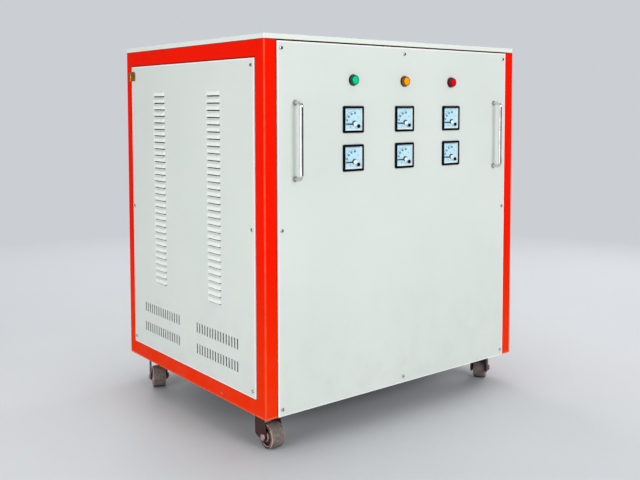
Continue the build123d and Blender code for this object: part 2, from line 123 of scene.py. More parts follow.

# On each dial: a dark line along the top, and a small printed wave and two plain numbers
top_line = (1.5 * MM, 2.3 * MM)
wave_centre = (-14.0 * MM, 19.5 * MM)
wave_width = 5.0 * MM
wave_height = 0.22 * wave_width
wave_line = 0.6 * MM
wave_steps = 16
small_number_size = 3.6 * MM
small_numbers = {"1.5": (19.5 * MM, 6.6 * MM), "50": (-7.0 * MM, -21.0 * MM)}

# White walls between a dial and its window
liner_clearance = 0.1 * MM
liner_wall = 0.8 * MM
liner_right_wall = 2.4 * MM
liner_sill = 3.4 * MM

# Side panels: how far the louvres stand proud, and the level that the upright slots stay below
louvre_reach = 5.0 * MM
slots_below = 290.0 * MM

# Rivets of the side bottom rails
rivet_from_front = 215.0 * MM
rivet_level = 12.0 * MM
rivet_radius = 2.6 * MM
rivet_height = 1.0 * MM

# Fine rings moulded in the lamps' lenses, in radians per metre outwards
lens_ring_rate = 5200.0

# Castor bolts
castor_plate_gauge = 4.0 * MM
castor_bolt_spacing = (60.0 * MM, 76.0 * MM)
nut_radius = 13.0 * MM / math.sqrt(3)
nut_height = 5.5 * MM
nut_bevel = 0.9 * MM
nut_crown_share = 0.86
washer_radius = 8.0 * MM
washer_gauge = 1.4 * MM
washer_bevel = (0.4 * MM, 0.3 * MM)
bolt_radius = 4.0 * MM
bolt_end = 2.3 * MM
bolt_bevel = 0.7 * MM

# Catches: a leaf on the panel, a leaf on the post and a barrel with collars between them
catch_panel_leaf = 26.0 * MM
catch_leaf_gauge = 2.0 * MM
barrel_radius = 3.0 * MM
collar_radius = barrel_radius + 0.25 * MM
collar_height = 1.2 * MM
collar_shares = (-0.5, -0.17, 0.17, 0.5)
catch_screw_radius = 2.4 * MM
catch_screw_height = 1.2 * MM
catch_screw_slot = {"reach": 1.2 * MM, "width": 0.5 * MM, "depth": 0.6 * MM}
catch_screw_places = (-17.0 * MM, 10.0 * MM)
catch_screw_shares = (-0.27, 0.27)

# Heights between which a castor is painted darker towards its top plate, as painted shade under the cabinet
castor_shade_heights = (82.0 * MM, 92.0 * MM)

# Radii of the castor wheel's ridges that carry painted highlights (the hub, the rim's inner edge and the tyre's
# shoulder), and of the edge where its tread starts
ridge_highlight_radii = ((10.5 * MM, 14.6 * MM), (25.0 * MM, 27.4 * MM), (30.6 * MM, 32.8 * MM))
tread_radius = 32.6 * MM

# Frame: from where to where grey primer takes over behind its faces, the widths of its worn corner and foot
# edges, which also carry a painted highlight, and the heights between which its orange turns warmer
primer_depth = (14.0 * MM, 16.0 * MM)
corner_wear_and_highlight_widths = (4.5 * MM, 2.0 * MM)
foot_wear_and_highlight_widths = (2.2 * MM, 0.6 * MM)
warm_heights = (0.5, 0.12)

# Panels: rise of a louvre's hood, where a highlight is painted, width of the painted highlight along the folded
# rim, and depth of the painted shade in the joint behind the frame's face
hood_highlight_rise = (3.6 * MM, 6.0 * MM)
rim_highlight = (4.2 * MM, 2.6 * MM)
gap_shade_depth = (0.2 * MM, 0.6 * MM)

# Painted shade along the joint at the lid's foot
lid_joint_shade = (1.5 * MM, 0.9 * MM)

# Sprayed coats: sizes of the drift in tone and gloss, specks, orange peel and fine grain
tone_drift = 420.0 * MM
gloss_drift = 90.0 * MM
speck_size = 1.1 * MM
peel_size, peel_depth = 2.6 * MM, 0.022 * MM
grain_size, grain_depth = 0.55 * MM, 0.006 * MM

rng = random.Random(11)


def srgb(red, green, blue):
    """Linear colour from the usual 0 to 255 values."""
    values = [channel / 255.0 for channel in (red, green, blue)]
    linear = [v / 12.92 if v <= 0.04045 else ((v + 0.055) / 1.055) ** 2.4 for v in values]
    return (*linear, 1.0)


backdrop = srgb(203, 207, 212)


class Graph:
    """Shader nodes of one tree; an input is a plain value or another node's output."""

    def __init__(self, tree):
        self.nodes = tree.nodes
        self.links = tree.links

    def add(self, kind, inputs=None, **settings):
        """New node with its settings, and its inputs set or linked."""
        node = self.nodes.new(kind)
        for key, value in settings.items():
            setattr(node, key, value)
        for key, value in (inputs or {}).items():
            if isinstance(value, bpy.types.NodeSocket):
                self.links.new(value, node.inputs[key])
            else:
                node.inputs[key].default_value = value
        return node

    def span(self, value, low, high, to_low=0.0, to_high=1.0):
        """value carried from low..high to to_low..to_high, and held at the ends."""
        inputs = {"Value": value, "From Min": low, "From Max": high, "To Min": to_low, "To Max": to_high}
        return self.add("ShaderNodeMapRange", inputs, clamp=True).outputs[0]

    def maths(self, operation, first, second):
        """Result of a Math node."""
        return self.add("ShaderNodeMath", {0: first, 1: second}, operation=operation).outputs[0]

    def blend(self, share, first, second):
        """Colour from first to second as share goes from 0 to 1."""
        return self.add("ShaderNodeMix", {0: share, 6: first, 7: second}, data_type="RGBA").outputs[2]

    def tint(self, tone, mask, strength, second):
        """tone, turned towards the second colour by up to that strength where mask is 1."""
        return self.blend(self.maths("MULTIPLY", mask, strength), tone, second)


class Finish(Graph):
    """One procedural material: a Principled shader and the nodes that drive it."""

    def __init__(self, name, **sockets):
        self.material = bpy.data.materials.new(name)
        self.material.use_nodes = True
        super().__init__(self.material.node_tree)
        self.shader = self.nodes["Principled BSDF"]
        self.position = self.nodes.new("ShaderNodeTexCoord").outputs["Object"]
        for socket, value in sockets.items():
            self.shader.inputs[socket.replace("_", " ")].default_value = value

    def noise(self, size, detail, stretch=(1.0, 1.0, 1.0)):
        """Cloudy pattern with blotches of about that size."""
        scaled = self.add("ShaderNodeMapping", {"Vector": self.position, "Scale": stretch})
        node = self.add(
            "ShaderNodeTexNoise",
            {"Vector": scaled.outputs[0], "Scale": 1.0 / size, "Detail": detail, "Roughness": 0.55},
        )
        return node.outputs[0]

    def patches(self, size, detail, low, high, to_low=0.0, to_high=1.0):
        """Blotches of about that size: noise from low to high carried to the other two values."""
        return self.span(self.noise(size, detail), low, high, to_low, to_high)

    def axes(self):
        """X, Y and height of the point."""
        return self.add("ShaderNodeSeparateXYZ", {0: self.position}).outputs

    def height(self):
        """Height of the point above the floor."""
        return self.axes()[UPRIGHT]

    def to_faces(self):
        """Depth behind the frame's side faces, and behind its front and back faces; negative in front."""
        low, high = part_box("post_front_left")[0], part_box("post_back_right")[1]
        return [self.within(axis, low, high) for axis in (ACROSS_X, ACROSS_Y)]

    def within(self, axis, low, high):
        """Depth inside the nearer of two ends along one axis."""
        middle, half = (low[axis] + high[axis]) / 2, (high[axis] - low[axis]) / 2
        offset = self.maths("ABSOLUTE", self.maths("SUBTRACT", self.axes()[axis], middle), 0.0)
        return self.maths("SUBTRACT", half, offset)

    def crevices(self, reach):
        """1 deep in corners between surfaces, 0 in the open; it marks where shade is painted."""
        clear = self.add("ShaderNodeAmbientOcclusion", {"Distance": reach}, samples=6).outputs["AO"]
        return self.span(clear, 0.85, 0.35)

    def edges(self, radius):
        """1 on outer and inner edges, 0 on the flats."""
        rounded = self.add("ShaderNodeBevel", {"Radius": radius}, samples=4).outputs[0]
        true_normal = self.nodes.new("ShaderNodeNewGeometry").outputs["Normal"]
        alike = self.add("ShaderNodeVectorMath", {0: rounded, 1: true_normal}, operation="DOT_PRODUCT")
        return self.span(alike.outputs["Value"], 0.995, 0.86)

    def from_axis(self, centre, axis):
        """Distance from a line through centre."""
        offset = self.add("ShaderNodeVectorMath", {0: self.position, 1: centre}, operation="SUBTRACT")
        inputs = {0: offset.outputs[0], 1: axis}
        across = self.add("ShaderNodeVectorMath", inputs, operation="CROSS_PRODUCT")
        length = self.add("ShaderNodeVectorMath", {0: across.outputs[0]}, operation="LENGTH")
        return length.outputs["Value"]

    def colour(self, value):
        """Sets the shader's colour from a node."""
        self.links.new(value, self.shader.inputs["Base Color"])

    def roughness(self, value):
        """Sets the shader's roughness from a node."""
        self.links.new(value, self.shader.inputs["Roughness"])

    def relief(self, layers, rounding=0.0):
        """Bump from (pattern, depth) pairs, on normals that are rounded over edges."""
        normal = None
        if rounding:
            normal = self.add("ShaderNodeBevel", {"Radius": rounding}, samples=4).outputs[0]
        for pattern, depth in layers:
            inputs = {"Height": pattern, "Strength": 1.0, "Distance": depth}
            if normal is not None:
                inputs["Normal"] = normal
            normal = self.add("ShaderNodeBump", inputs).outputs[0]
        self.links.new(normal, self.shader.inputs["Normal"])


# Materials

def coat(finish, colour, shaded, gloss, rounding=0.8 * MM):
    """Sprayed coat: slow drift in tone, fine specks, orange peel. Gives its colour."""
    tone = finish.blend(finish.patches(tone_drift, 3.0, 0.35, 0.65), colour, shaded)
    speck = finish.patches(speck_size, 1.0, 0.25, 0.75)
    finish.roughness(finish.patches(gloss_drift, 4.0, 0.3, 0.7, gloss, gloss + 0.09))
    peel = finish.noise(peel_size, 2.0)
    grain = finish.noise(grain_size, 1.0)
    finish.relief([(peel, peel_depth), (grain, grain_depth)], rounding)
    return finish.tint(tone, speck, 0.22, shaded)


def rubbed(finish, tone, radius, thin, worn_highlight):
    """Coat worn thin along its edges and painted lighter there as a highlight, in patches that start at the noise
    level thin.
    """
    patches = finish.patches(9.0 * MM, 4.0, thin, thin + 0.2)
    share = finish.maths("MULTIPLY", finish.edges(radius), patches)
    return finish.tint(tone, share, 0.8, worn_highlight)


def soiled(finish, tone, reach, shade_colour, dusty_below):
    """Painted shade in the corners, and a little dust below a level."""
    tone = finish.tint(tone, finish.crevices(reach), 0.75, shade_colour)
    low = finish.span(finish.height(), dusty_below, 0.1)
    dusty = finish.maths("MULTIPLY", low, finish.patches(0.05, 5.0, 0.42, 0.8))
    return finish.tint(tone, dusty, 0.1, srgb(150, 138, 124))


def frame_paint():
    """Orange coat, grey primer inside. Its outer corners, bottom edge and other edges are lighter, worn and
    painted with highlights, and its corners carry painted shade.
    """
    finish = Finish("frame_paint", Specular_IOR_Level=0.015)
    tone = coat(finish, srgb(247, 24, 0), srgb(243, 21, 0), 0.42)
    height = finish.height()
    tone = finish.blend(finish.span(height, *warm_heights), tone, srgb(243, 50, 2))
    side_depth, end_depth = finish.to_faces()
    # Paler outer corners and bottom edge: worn paint and painted highlight.
    corner = finish.span(finish.maths("ADD", side_depth, end_depth), *corner_wear_and_highlight_widths)
    foot_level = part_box("post_front_left")[0].z
    foot = finish.span(height, *(foot_level + width for width in foot_wear_and_highlight_widths))
    corner_wear_and_highlight = finish.maths("MULTIPLY", corner, 0.45)
    foot_wear_and_highlight = finish.maths("MULTIPLY", foot, 0.6)
    knocked = finish.maths("MAXIMUM", corner_wear_and_highlight, foot_wear_and_highlight)
    patchiness = finish.patches(0.02, 4.0, 0.3, 0.6, 0.45, 1.0)
    tone = finish.tint(tone, knocked, patchiness, srgb(255, 118, 78))
    # Paler edges all round: worn paint and painted highlight.
    tone = rubbed(finish, tone, 0.9 * MM, 0.45, srgb(255, 84, 44))
    # Painted shade in the corners, and a little dust low down.
    tone = soiled(finish, tone, 5.0 * MM, srgb(60, 8, 4), 0.3)
    inner = finish.span(finish.maths("MINIMUM", side_depth, end_depth), *primer_depth)
    finish.colour(finish.blend(inner, tone, srgb(96, 100, 100)))
    return finish.material


def pale_coat(name, colour, shaded):
    """Pale coat, worn thin along the edges and painted with highlights there. Gives the finish and its colour."""
    finish = Finish(name, Specular_IOR_Level=0.15)
    tone = coat(finish, colour, shaded, 0.42)
    return finish, rubbed(finish, tone, 0.9 * MM, 0.3, srgb(248, 250, 246))


def lid_paint():
    """Pale coat, a little brighter than the panels, with painted shade along the joint under the lid's lower edge.
    """
    finish, tone = pale_coat("lid_paint", srgb(230, 238, 231), srgb(226, 234, 227))
    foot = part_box("lid")[0].z
    # Painted shade along the lid's foot.
    under = finish.span(finish.height(), *(foot + rise for rise in lid_joint_shade))
    finish.colour(finish.blend(under, tone, srgb(58, 52, 46)))
    return finish.material


def panel_paint(node, across, louvred):
    """Pale coat: painted highlights on the folded edges, rim and louvre hoods, painted shade on the slot edges, in
    the corners and in the joints, and a little dust low down.
    """
    finish, tone = pale_coat(f"{node}_paint", srgb(221, 228, 224), srgb(216, 224, 220))
    if louvred:
        # Painted highlight on the louvre hoods.
        hood = finish.span(finish.to_faces()[0], *(-rise for rise in hood_highlight_rise))
        tone = finish.tint(tone, hood, 0.8, srgb(244, 250, 247))
        # Painted shade on the cut edges of the slots.
        slots = finish.span(finish.height(), slots_below, slots_below - 2.0 * MM)
        rim = finish.maths("MULTIPLY", finish.edges(1.5 * MM), slots)
        tone = finish.tint(tone, rim, 0.75, srgb(96, 100, 98))
    # Painted shade in the corners, and a little dust low down.
    tone = soiled(finish, tone, 4.0 * MM, srgb(60, 60, 58), 0.5)
    low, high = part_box(node)
    margin = finish.maths("MINIMUM", finish.within(across, low, high), finish.within(UPRIGHT, low, high))
    # Painted highlight along the folded rim.
    tone = finish.blend(finish.span(margin, *rim_highlight, 0.0, 0.9), tone, srgb(250, 250, 248))
    # Painted shade, tinted red, in the joint behind the frame's face.
    behind = finish.span(finish.maths("MINIMUM", *finish.to_faces()), *gap_shade_depth)
    finish.colour(finish.blend(behind, tone, srgb(118, 14, 8)))
    return finish.material


def inner_paint():
    """Dark coat of the steelwork round the core, worn and painted with highlights along its edges."""
    finish = Finish("core_frame_paint", Specular_IOR_Level=0.3)
    tone = coat(finish, srgb(58, 60, 62), srgb(46, 48, 50), 0.4)
    # Paler edges: worn paint and painted highlight.
    finish.colour(rubbed(finish, tone, 0.9 * MM, 0.5, srgb(100, 100, 100)))
    return finish.material


def polished_metal(name, colour, dulled, smooth, rough, reach):
    """Plated metal with faint rub marks, a few dull patches and painted shade in the corners."""
    finish = Finish(name, Metallic=1.0)
    patches = finish.patches(0.02, 4.0, 0.45, 0.7)
    tone = finish.blend(patches, colour, dulled)
    # Painted shade in the corners.
    finish.colour(finish.tint(tone, finish.crevices(reach), 0.9, srgb(34, 32, 30)))
    streaks = finish.noise(1.2 * MM, 3.0, (1.0, 1.0, 0.08))
    finish.roughness(finish.span(streaks, 0.3, 0.75, smooth, rough))
    finish.relief([(streaks, 0.004 * MM)])
    return finish.material


def brass():
    """Yellow plating, gone dull, brownish and olive in patches, with painted shade in its corners."""
    finish = Finish("catch_brass", Metallic=0.7)
    stain = finish.patches(7.0 * MM, 4.0, 0.4, 0.62)
    tone = finish.blend(stain, srgb(192, 160, 74), srgb(184, 112, 62))
    dark = finish.patches(3.0 * MM, 3.0, 0.54, 0.68, 0.0, 0.45)
    tone = finish.blend(dark, tone, srgb(78, 62, 40))
    tone = finish.tint(tone, finish.edges(0.6 * MM), 0.5, srgb(214, 184, 112))
    # Painted shade in the corners.
    finish.colour(finish.blend(finish.crevices(3.0 * MM), tone, srgb(40, 28, 18)))
    finish.roughness(finish.span(stain, 0.0, 1.0, 0.3, 0.5))
    finish.relief([(finish.noise(1.0 * MM, 3.0), 0.02 * MM)], 0.4 * MM)
    return finish.material


def moulded(name, colour, shaded, gloss, specular=0.4):
    """Injection-moulded plastic with a fine texture and a slight drift in tone."""
    finish = Finish(name, Specular_IOR_Level=specular)
    finish.colour(finish.blend(finish.patches(7.0 * MM, 4.0, 0.35, 0.7), colour, shaded))
    finish.roughness(finish.patches(4.0 * MM, 3.0, 0.3, 0.7, gloss, gloss + 0.12))
    finish.relief([(finish.noise(0.35 * MM, 1.0), 0.008 * MM)], 0.5 * MM)
    return finish.material


def lamp_lens(node, bright, deep):
    """Tinted lens: bright over its face; on the ridge and down the side it is deep in colour, partly the tint of
    thick plastic and partly painted shade.
    """
    low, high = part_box(node)
    finish = Finish(node, Specular_IOR_Level=0.3)
    radius = finish.from_axis((low + high) / 2, (0.0, 1.0, 0.0))
    outer = (high.x - low.x) / 2
    rim = finish.span(radius, 0.75 * outer, 0.8 * outer)
    spark = finish.patches(2.4 * MM, 3.0, 0.35, 0.7)
    face = finish.tint(bright, spark, 0.22, deep)
    # The deep ridge and side are partly painted shade.
    finish.colour(finish.blend(rim, face, deep))
    finish.roughness(finish.patches(3.0 * MM, 2.0, 0.3, 0.7, 0.1, 0.2))
    turns = finish.maths("MULTIPLY", radius, lens_ring_rate)
    rings = finish.add("ShaderNodeMath", {0: turns}, operation="SINE")
    finish.relief([(rings.outputs[0], 0.03 * MM)])
    return finish.material


def window_glass():
    """Clear sheet: mostly see-through, with a thin mirror that strengthens at a slant."""
    finish = Finish("meter_glass", Alpha=0.05, Roughness=0.06, Specular_IOR_Level=0.5)
    finish.shader.inputs["Base Color"].default_value = srgb(225, 240, 246)
    finish.relief([(finish.noise(0.05, 2.0), 0.02 * MM)])
    return finish.material


def dial_paper():
    """Pale blue-white printed plate."""
    finish = Finish("dial_white", Specular_IOR_Level=0.3)
    fibre = finish.patches(0.8 * MM, 3.0, 0.3, 0.7)
    finish.colour(finish.blend(fibre, srgb(188, 234, 252), srgb(198, 240, 255)))
    finish.roughness(finish.span(fibre, 0.0, 1.0, 0.5, 0.62))
    return finish.material


def castor_metal(name, colour, dust, amount, scuff):
    """Plated steel, scuffed on its edges, dusty in patches, with painted shade in its corners and high up under
    the cabinet.
    """
    finish = Finish(name, Metallic=0.6)
    dusty = finish.patches(0.012, 5.0, 0.45, 0.68, 0.0, amount)
    tone = finish.blend(dusty, colour, dust)
    patches = finish.patches(3.0 * MM, 3.0, 0.4, 0.6)
    scuffed = finish.maths("MULTIPLY", finish.edges(0.7 * MM), patches)
    tone = finish.tint(tone, scuffed, 0.8, scuff)
    # Painted shade in the corners.
    tone = finish.tint(tone, finish.crevices(12.0 * MM), 0.8, srgb(20, 14, 14))
    # Painted shade high up, under the cabinet.
    under_plate_shade = finish.span(finish.height(), *castor_shade_heights, 0.0, 0.85)
    finish.colour(finish.blend(under_plate_shade, tone, srgb(16, 12, 14)))
    finish.roughness(finish.span(dusty, 0.0, amount, 0.38, 0.62))
    finish.relief([(finish.noise(1.6 * MM, 4.0), 0.03 * MM)], 0.5 * MM)
    return finish.material


def castor_tyre(name, centre, axis):
    """Grey tread with dull patches, dark brown sides, painted highlights along the ridges and painted shade in the
    corners.
    """
    finish = Finish(name, Specular_IOR_Level=0.35)
    radius = finish.from_axis(centre, axis)
    mottled = finish.patches(8.0 * MM, 4.0, 0.36, 0.66)
    tread = finish.blend(mottled, srgb(100, 92, 91), srgb(134, 124, 117))
    blotches = finish.patches(6.0 * MM, 4.0, 0.35, 0.7)
    side = finish.blend(blotches, srgb(82, 58, 56), srgb(48, 36, 36))
    tone = finish.blend(finish.span(radius, tread_radius - 1.0 * MM, tread_radius), side, tread)
    # Painted highlights along the ridges.
    for low, high in ridge_highlight_radii:
        line = finish.maths(
            "MULTIPLY",
            finish.span(radius, low, low + 0.6 * MM),
            finish.span(radius, high, high - 0.6 * MM),
        )
        patchy = finish.patches(12.0 * MM, 3.0, 0.36, 0.58, 0.25, 0.95)
        tone = finish.tint(tone, line, patchy, srgb(214, 176, 164))
    # Painted shade in the corners.
    finish.colour(finish.tint(tone, finish.crevices(14.0 * MM), 0.75, srgb(16, 12, 14)))
    finish.roughness(finish.patches(6.0 * MM, 4.0, 0.3, 0.7, 0.45, 0.7))
    finish.relief([(finish.noise(1.2 * MM, 4.0), 0.08 * MM)], 0.8 * MM)
    return finish.material


def laminated_steel():
    """Varnished core sheets, stacked from front to back."""
    finish = Finish("core_steel", Metallic=0.4)
    sheets = finish.noise(2.0 * MM, 2.0, (0.02, 1.0, 0.02))
    finish.colour(finish.blend(finish.span(sheets, 0.35, 0.65), srgb(70, 66, 64), srgb(104, 98, 92)))
    finish.roughness(finish.span(sheets, 0.3, 0.7, 0.4, 0.6))
    finish.relief([(sheets, 0.2 * MM)])
    return finish.material


def varnished_winding():
    """Wound blocks under amber-brown varnish, the turns lying level."""
    finish = Finish("coil_resin", Specular_IOR_Level=0.5)
    turns = finish.noise(5.0 * MM, 2.0, (0.03, 0.03, 1.0))
    finish.colour(finish.blend(finish.span(turns, 0.3, 0.7), srgb(150, 86, 48), srgb(98, 52, 34)))
    finish.roughness(finish.span(turns, 0.3, 0.7, 0.3, 0.5))
    finish.relief([(turns, 0.8 * MM)])
    return finish.material


def lamp_pair(colour_name, ring, bright, deep):
    """Finishes of one pilot lamp's bezel and lens, by slot."""
    ring_name, lens_name = f"lamp_ring_{colour_name}", f"lamp_lens_{colour_name}"
    shaded = (*(0.8 * channel for channel in ring[:3]), 1.0)
    return {
        ring_name: moulded(ring_name, ring, shaded, 0.3, specular=0.3),
        lens_name: lamp_lens(lens_name, bright, deep),
    }


def finishes():
    """Finishes by material slot of the record."""
    chrome = polished_metal(
        "handle_chrome", srgb(218, 218, 218), srgb(198, 198, 198), 0.02, 0.05, 9.0 * MM
    )
    steel = castor_metal(
        "castor_steel", srgb(74, 42, 44), srgb(92, 66, 62), 0.4, srgb(150, 118, 112)
    )
    bolt = castor_metal(
        "castor_bolt", srgb(204, 170, 160), srgb(150, 112, 100), 0.5, srgb(236, 214, 206)
    )
    made = {
        "frame_paint": frame_paint(),
        "catch_brass": brass(),
        "handle_chrome": chrome,
        "meter_black": moulded("meter_black", srgb(0, 10, 18), srgb(2, 16, 24), 0.4, specular=0.06),
        "dial_white": dial_paper(),
        "meter_glass": window_glass(),
        "core_steel": laminated_steel(),
        "coil_resin": varnished_winding(),
        "core_frame_paint": inner_paint(),
        "castor_steel": steel,
        "castor_bolt": bolt,
    }
    made.update(lamp_pair("green", srgb(0, 34, 26), srgb(0, 220, 160), srgb(0, 84, 60)))
    made.update(lamp_pair("amber", srgb(54, 28, 2), srgb(255, 178, 0), srgb(150, 76, 0)))
    made.update(lamp_pair("red", srgb(48, 0, 6), srgb(240, 0, 30), srgb(112, 0, 10)))
    return made


def own_finishes():
    """Nodes with a finish that follows their own edges or axis."""
    made = {"lid": lid_paint()}
    for end in ("front", "back"):
        made[f"{end}_panel"] = panel_paint(f"{end}_panel", ACROSS_X, louvred=False)
    for side in ("left", "right"):
        made[f"side_panel_{side}"] = panel_paint(f"side_panel_{side}", ACROSS_Y, louvred=True)
    for joint in frame["joints"]:
        if joint["child"].startswith("wheel_"):
            node = "castor_" + joint["child"]
            made[node] = castor_tyre(node, joint["pos_m"], joint["axis"])
    return made


def dress_nodes(made):
    """Gives each CAD node its own finish, or else the finish of its slot."""
    own = own_finishes()
    for row in frame["record"]["subparts"]:
        node = frame["nodes"][row["node"]]
        node.data.materials.clear()
        node.data.materials.append(own.get(row["node"]) or made[row["material_slot"]])


# Mesh building

def ring(bm, radius, height, segments, place, turn=0.0):
    """Loop of points round the local z axis."""
    angles = [turn + 2 * math.pi * i / segments for i in range(segments)]
    points = [Vector((radius * math.cos(a), radius * math.sin(a), height)) for a in angles]
    return [bm.verts.new(place @ point) for point in points]


def around(loop):
    """Each item of a loop with the one after it, the last with the first."""
    return zip(loop, loop[1:] + loop[:1])


def walls(bm, lower, upper):
    """Faces between two loops of as many points."""
    for (low_start, low_end), (high_start, high_end) in zip(around(lower), around(upper)):
        bm.faces.new((low_start, low_end, high_end, high_start))


def tube(bm, profile, segments, place, turn=0.0):
    """Walls round the local z axis from (radius, height) pairs. Gives the loops."""
    loops = [ring(bm, radius, height, segments, place, turn) for radius, height in profile]
    for lower, upper in zip(loops, loops[1:]):
        walls(bm, lower, upper)
    return loops


def turned(bm, profile, segments, place, turn=0.0):
    """Closed solid turned round the local z axis from (radius, height) pairs, capped at both ends."""
    loops = tube(bm, profile, segments, place, turn)
    bm.faces.new(list(reversed(loops[0])))
    bm.faces.new(loops[-1])


def plate(bm, outline, bottom, top, place):
    """Flat solid with the given outline in local x and y."""
    lower = [bm.verts.new(place @ Vector((x, y, bottom))) for x, y in outline]
    upper = [bm.verts.new(place @ Vector((x, y, top))) for x, y in outline]
    walls(bm, lower, upper)
    bm.faces.new(list(reversed(lower)))
    bm.faces.new(upper)


def bar_outline(start, end, width, end_width=None):
    """Outline of a straight bar, tapered if end_width is given."""
    across = (end - start).orthogonal().normalized()
    start_side = across * width / 2
    end_side = start_side if end_width is None else across * end_width / 2
    return [start - start_side, end - end_side, end + end_side, start + start_side]


def cross_outline(reach, width):
    """Twelve points of a cross recess."""
    half = width / 2
    quarter = [(reach, -half), (reach, half), (half, half)]
    points = []
    for turn in range(4):
        c, s = math.cos(turn * math.pi / 2), math.sin(turn * math.pi / 2)
        points += [(c * x - s * y, s * x + c * y) for x, y in quarter]
    return points


def slab_outline(left, right, bottom, top):
    """Four corners of an upright rectangle."""
    return [(left, bottom), (right, bottom), (right, top), (left, top)]


def slot_outline(reach, width):
    """Four corners of a level slot through the middle."""
    return slab_outline(-reach, reach, -width / 2, width / 2)


def loop_edges(bm, loop):
    """Edges along a loop of points, made where there is none yet."""
    return [bm.edges.get(pair) or bm.edges.new(pair) for pair in around(loop)]


def driven_head(bm, place, radius, height, outline, depth, segments=24):
    """Low domed head with a recess for a driver."""
    loops = tube(bm, [(radius * r, height * h) for r, h in head_shape], segments, place)
    bm.faces.new(list(reversed(loops[0])))
    crown = height * head_shape[-1][1]
    rim = [bm.verts.new(place @ Vector((x, y, crown))) for x, y in outline]
    narrow = [(recess_taper * x, recess_taper * y, crown - depth) for x, y in outline]
    sole = [bm.verts.new(place @ Vector(point)) for point in narrow]
    bmesh.ops.triangle_fill(bm, edges=loop_edges(bm, loops[-1]) + loop_edges(bm, rim), use_beauty=True)
    walls(bm, rim, sole)
    bm.faces.new(sole)


def made_piece(name, bm, material, body=CABINET, smooth=35.0):
    """Object made from a finished bmesh, smooth but for its edges, riding on a body."""
    bmesh.ops.recalc_face_normals(bm, faces=bm.faces)
    mesh = bpy.data.meshes.new(name)
    bm.to_mesh(mesh)
    bm.free()
    mesh.polygons.foreach_set("use_smooth", [True] * len(mesh.polygons))
    mesh.set_sharp_from_angle(angle=math.radians(smooth))
    mesh.materials.append(material)
    piece = bpy.data.objects.new(name, mesh)
    bpy.context.scene.collection.objects.link(piece)
    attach(piece, body)


def facing(direction):
    """Turns local z towards a side of the cabinet or down. Towards a side, local y stays up."""
    if direction == "down":
        return Matrix.Rotation(math.radians(180), 4, "X")
    heading = {"front": 0, "back": 180, "left": -90, "right": 90}[direction]
    return Matrix.Rotation(math.radians(heading), 4, "Z") @ Matrix.Rotation(math.radians(90), 4, "X")


# Screws

def panel_screws(name, spots, direction, material):
    """One cross-recessed screw at each spot, each turned as it came to rest."""
    bm = bmesh.new()
    for spot in spots:
        spin = Matrix.Rotation(rng.uniform(0.0, math.pi / 2), 4, "Z")
        place = Matrix.Translation(spot) @ facing(direction) @ spin
        recess = cross_outline(screw_recess_reach, screw_recess_width)
        driven_head(bm, place, screw_radius, screw_height, recess, screw_recess_depth)
    made_piece(name, bm, material)


def screw_lines(node, across):
    """Where a panel's screws lie along it, and their heights: near the foot, halfway and near the top."""
    low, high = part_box(node)
    sides = (low[across] + panel_screw_inset, high[across] - panel_screw_inset)
    heights = (low.z + panel_screw_end, (low.z + high.z) / 2, high.z - panel_screw_end)
    return sides, heights


def end_panel_spots(node, face):
    """Eight places on the front or back panel: three up each side, and the middle of its foot and top."""
    sides, heights = screw_lines(node, ACROSS_X)
    spots = [Vector((x, face, z)) for x in sides for z in heights]
    return spots + [Vector((sum(sides) / 2, face, z)) for z in (heights[0], heights[-1])]


def side_panel_spots(node, face):
    """Six places on a side panel: three up each side."""
    sides, heights = screw_lines(node, ACROSS_Y)
    return [Vector((face, y, z)) for y in sides for z in heights]


def all_panel_screws(material):
    """Screws of all four panels. The side panels' louvres stand proud of their flat faces."""
    front_face, back_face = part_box("front_panel")[0].y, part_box("back_panel")[1].y
    side_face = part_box("side_panel_right")[1].x - louvre_reach
    panel_screws("front_screws", end_panel_spots("front_panel", front_face), "front", material)
    panel_screws("back_screws", end_panel_spots("back_panel", back_face), "back", material)
    panel_screws("side_screws_left", side_panel_spots("side_panel_left", -side_face), "left", material)
    panel_screws("side_screws_right", side_panel_spots("side_panel_right", side_face), "right", material)


# Meters

def meter_centres():
    """Middles of the six meters on the panel, with the row that each belongs to."""
    low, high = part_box("meter_cases")
    columns = (low.x + meter_half, (low.x + high.x) / 2, high.x - meter_half)
    rows = (high.z - meter_half, low.z + meter_half)
    return [(x, z, row) for row, z in enumerate(rows) for x in columns]


def dial_places():
    """Place of each dial's middle on its face, turned to the front, with the row that it belongs to."""
    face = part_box("meter_dials")[0].y
    return [(Matrix.Translation((x, face, z)) @ facing("front"), row) for x, z, row in meter_centres()]


def on_dial(angle, radius):
    """Point at an angle up from the zero mark, which lies to the left of the pivot."""
    turn = math.radians(180.0 - angle)
    return Vector((pivot_offset[0] + radius * math.cos(turn), pivot_offset[1] + radius * math.sin(turn)))


def scale_angle(share):
    """Angle of a reading: the marks crowd together towards zero."""
    return scale_sweep * share**scale_law


def print_number(bm, text, size, spot, place):
    """Flat raised figures in a bold stroke, centred at a spot of the dial."""
    curve = bpy.data.curves.new("figures", "FONT")
    curve.body = text
    curve.size = size
    curve.align_x = "CENTER"
    curve.align_y = "CENTER"
    curve.extrude = print_thickness / 2
    curve.offset = stroke_gain * size
    curve.resolution_u = 2
    holder = bpy.data.objects.new("figures", curve)
    bpy.context.scene.collection.objects.link(holder)
    mesh = bpy.data.meshes.new_from_object(holder.evaluated_get(bpy.context.evaluated_depsgraph_get()))
    mesh.transform(place @ Matrix.Translation((*spot, print_thickness / 2)))
    bm.from_mesh(mesh)
    bpy.data.objects.remove(holder)
    bpy.data.curves.remove(curve)
    bpy.data.meshes.remove(mesh)


def print_line(bm, points, width, place):
    """Thin raised line through points of the dial."""
    for start, end in zip(points, points[1:]):
        plate(bm, bar_outline(start, end, width), 0.0, print_thickness, place)


